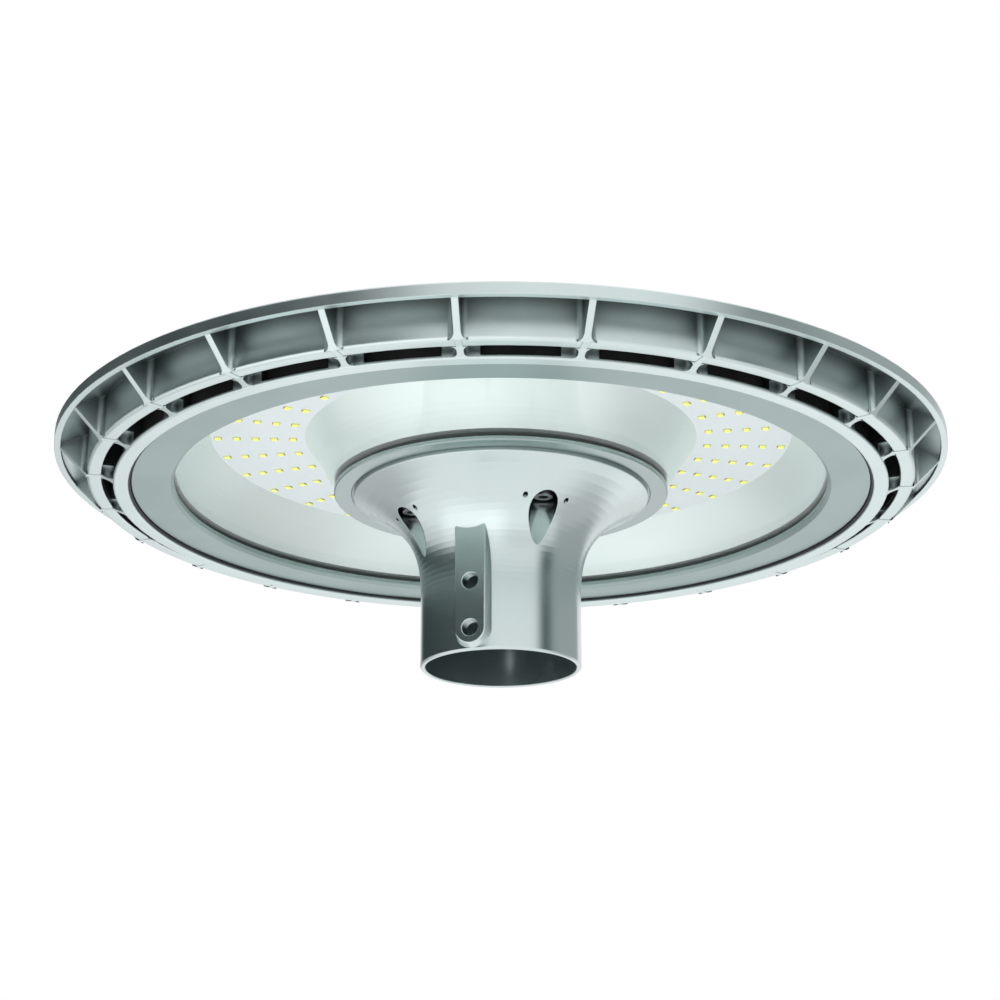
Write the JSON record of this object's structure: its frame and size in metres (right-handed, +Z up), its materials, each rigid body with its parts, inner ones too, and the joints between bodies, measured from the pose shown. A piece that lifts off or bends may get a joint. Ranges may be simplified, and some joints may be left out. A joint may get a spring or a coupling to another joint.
{
  "type": "post-top garden light",
  "caption": "Flat round post-top garden light: ribbed cast disc with a ring-shaped glass over rows of chips, on a trumpet spigot that slips over a post.",
  "frame": {"origin": "centre of the spigot's lower face, on the axis of the bore for the post", "axes": "+Z up along the post; -Y out of the pad with the two clamp screw holes"},
  "size_m": [0.47, 0.47, 0.1647],
  "materials": {
    "body_paint": "die-cast alloy, light grey-green powder coat, satin",
    "bezel_paint": "die-cast alloy, mid grey powder coat, satin",
    "trim_paint": "turned alloy, grey powder coat",
    "spigot_paint": "die-cast alloy, silver-grey powder coat, semi-gloss",
    "reflector_metal": "satin silver-white sheet",
    "clear_glass": "toughened clear glass",
    "black_rubber": "black silicone rubber",
    "grey_rubber": "grey silicone rubber",
    "board_white": "white solder mask",
    "chip_yellow": "yellow phosphor on a white package",
    "thermal_film": "soft blue thermal film",
    "stainless": "plain stainless steel",
    "zinc_sheet": "zinc-plated sheet steel",
    "case_metal": "extruded alloy case, natural",
    "lid_plastic": "black moulded plastic",
    "terminal_plastic": "ivory moulded plastic",
    "gland_plastic": "black polyamide",
    "lead_red": "red insulation",
    "lead_brown": "brown insulation"
  },
  "bodies": {
    "root": {"frame_casting": "body_paint", "bezel": "bezel_paint", "bezel_seal": "black_rubber", "bezel_screws": "stainless", "glass": "clear_glass", "glass_outer_gasket": "grey_rubber", "glass_inner_gasket": "grey_rubber", "inner_ring": "trim_paint", "outer_reflector": "reflector_metal", "inner_reflector": "reflector_metal", "led_board": "board_white", "led_chips": "chip_yellow", "board_screws": "stainless", "thermal_pad": "thermal_film", "spigot": "spigot_paint", "spigot_gasket": "grey_rubber", "spigot_screws": "stainless", "spigot_washers": "stainless", "top_cover": "body_paint", "top_cover_seal": "black_rubber", "top_cover_screws": "stainless", "top_cover_washers": "stainless", "gear_tray": "zinc_sheet", "tray_screws": "stainless", "driver_case": "case_metal", "driver_lids": "lid_plastic", "driver_screws": "stainless", "terminal_block": "terminal_plastic", "terminal_screws": "stainless", "gland_body": "gland_plastic", "gland_nut": "gland_plastic", "gland_seal": "black_rubber", "lead_grommet": "black_rubber", "led_leads": "lead_red", "supply_leads": "lead_brown"}
  },
  "joints": []
}
